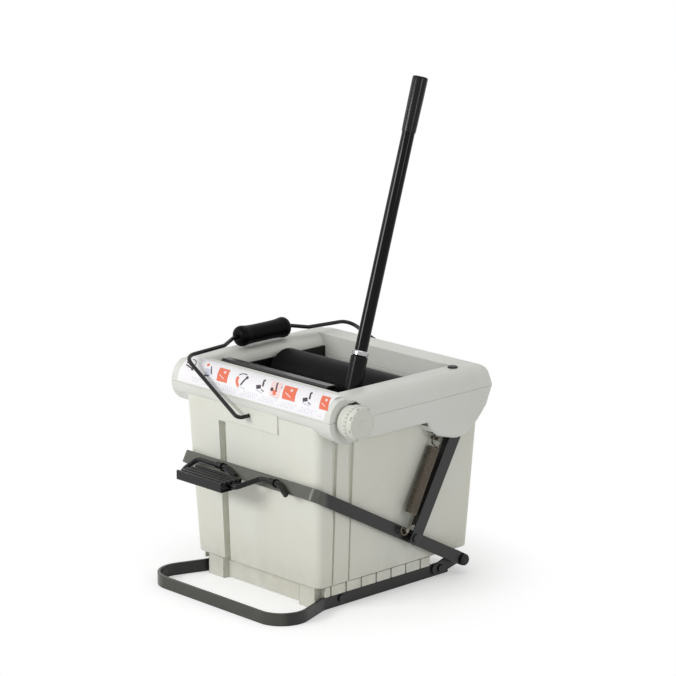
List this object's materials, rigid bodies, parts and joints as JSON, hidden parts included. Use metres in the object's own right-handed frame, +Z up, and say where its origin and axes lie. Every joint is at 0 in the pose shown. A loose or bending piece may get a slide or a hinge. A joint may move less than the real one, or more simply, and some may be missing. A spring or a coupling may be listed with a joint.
{
  "type": "foot-press mop wringer",
  "caption": "Foot-press mop wringer: tapered bucket with a hollow rim, ratchet-driven rollers, detachable hand lever, folding pedal, carrying bail and flat-bar floor frame.",
  "frame": {"origin": "middle of the overall box, on the floor", "axes": "+Z up from the floor, -Y towards the person at the pedal, +X across the machine towards the dial"},
  "size_m": [0.3848, 0.431, 0.76],
  "materials": {
    "bucket_plastic": "moulded pale grey, satin",
    "dial_plastic": "moulded pale grey, satin",
    "black_plastic": "moulded black, satin",
    "black_enamel": "dark enamel, semi-gloss",
    "gloss_black": "glossy black coat",
    "roller_rubber": "smooth black rubber",
    "grip_rubber": "soft black grip",
    "bright_steel": "zinc-plated",
    "bail_steel": "black-coated wire",
    "spring_steel": "oiled spring wire",
    "chrome": "polished"
  },
  "bodies": {
    "base": {"bucket": "bucket_plastic", "rim_lower": "bucket_plastic", "rim_upper": "bucket_plastic", "rim_plug": "black_plastic", "rim_screws": "bright_steel", "floor_frame": "black_enamel", "frame_bolts": "black_enamel", "pivot_bracket_right": "black_enamel", "pivot_bracket_left": "black_enamel", "pivot_axle": "bright_steel", "axle_spacers": "black_plastic", "axle_caps": "black_plastic", "anchor_studs": "bright_steel", "side_plate_right": "black_enamel", "side_plate_left": "black_enamel", "plate_screws": "bright_steel", "drum_bushes": "black_plastic", "guide_bar": "black_enamel", "return_spring_right": "spring_steel", "return_spring_left": "spring_steel"},
    "treadle": {"pedal_arm": "black_enamel", "link_pins": "black_enamel", "arm_studs": "bright_steel", "pedal_brackets": "black_enamel"},
    "pedal": {"pedal_wire": "black_enamel", "pedal_pad": "black_plastic"},
    "right_link": {"link_right": "black_enamel"},
    "left_link": {"link_left": "black_enamel"},
    "rocker": {"rocker_shaft": "bright_steel", "crank_right": "black_enamel", "crank_left": "black_enamel", "crank_pins": "bright_steel", "pawl_pin": "bright_steel"},
    "catch": {"pawl": "bright_steel"},
    "drum": {"drum_core": "black_plastic", "drum_sleeve": "roller_rubber", "ratchet_wheel": "bright_steel"},
    "press": {"press_shaft": "bright_steel", "press_arm_right": "black_enamel", "press_arm_left": "black_enamel", "press_axle": "bright_steel", "lever_socket": "black_enamel"},
    "press_roller": {"press_core": "black_plastic", "press_sleeve": "roller_rubber"},
    "lever": {"lever_tube": "gloss_black", "lever_collar": "chrome", "lever_grip": "grip_rubber"},
    "dial": {"dial_knob": "dial_plastic", "dial_shaft": "bright_steel", "stop_cam": "black_plastic"},
    "bail": {"bail_wire": "bail_steel"},
    "bail_handle": {"bail_grip": "black_plastic"}
  },
  "joints": [
    {"name": "treadle_press", "type": "hinge", "parent": "base", "child": "treadle", "pos_m": [0, 0.16, 0.021], "axis": [1, 0, 0], "range_deg": [0, 15], "stiffness_Nm_per_rad": 14, "springref_deg": -22.92, "deforming": ["return_spring_right", "return_spring_left"]},
    {"name": "pedal_fold", "type": "hinge", "parent": "treadle", "child": "pedal", "pos_m": [0, -0.15046, 0.18794], "axis": [-1, 0, 0], "range_deg": [0, 75]},
    {"name": "right_link_pivot", "type": "hinge", "parent": "treadle", "child": "right_link", "pos_m": [0, 0.04815, 0.08114], "axis": [1, 0, 0], "range_deg": [-14.4, 0]},
    {"name": "left_link_pivot", "type": "hinge", "parent": "treadle", "child": "left_link", "pos_m": [0, 0.04815, 0.08114], "axis": [1, 0, 0], "range_deg": [-14.4, 0]},
    {"name": "rocker_turn", "type": "hinge", "parent": "base", "child": "rocker", "pos_m": [0, 0.0475, 0.284], "axis": [1, 0, 0], "range_deg": [-18.2, 0]},
    {"name": "pawl_lift", "type": "hinge", "parent": "rocker", "child": "catch", "pos_m": [0.13165, 0.0235, 0.273], "axis": [1, 0, 0], "range_deg": [-5.1, 0]},
    {"name": "drum_spin", "type": "hinge", "parent": "base", "child": "drum", "pos_m": [0, 0.0475, 0.284], "axis": [1, 0, 0], "continuous": true},
    {"name": "lever_swing", "type": "hinge", "parent": "base", "child": "press", "pos_m": [0, -0.0575, 0.262], "axis": [1, 0, 0], "range_deg": [0, 21]},
    {"name": "press_roller_spin", "type": "hinge", "parent": "press", "child": "press_roller", "pos_m": [0, 0.00497, 0.20436], "axis": [1, 0, 0], "continuous": true},
    {"name": "lever_draw", "type": "slide", "parent": "press", "child": "lever", "axis": [0, 0.2935, 0.9559], "range_m": [0, 0.05]},
    {"name": "dial_turn", "type": "hinge", "parent": "base", "child": "dial", "pos_m": [0.17765, -0.1071, 0.294], "axis": [1, 0, 0], "range_deg": [0, 250]},
    {"name": "bail_swing", "type": "hinge", "parent": "base", "child": "bail", "pos_m": [-0.01235, 0, 0.273], "axis": [0, 1, 0], "range_deg": [0, 86]},
    {"name": "bail_handle_spin", "type": "hinge", "parent": "bail", "child": "bail_handle", "pos_m": [-0.1682, 0.02725, 0.34337], "axis": [0, 1, 0], "continuous": true}
  ],
  "couplings": [
    {"joint": "rocker_turn", "follows": "treadle_press", "ratio": -1.208},
    {"joint": "right_link_pivot", "follows": "treadle_press", "ratio": -0.955},
    {"joint": "left_link_pivot", "follows": "treadle_press", "ratio": -0.955}
  ]
}
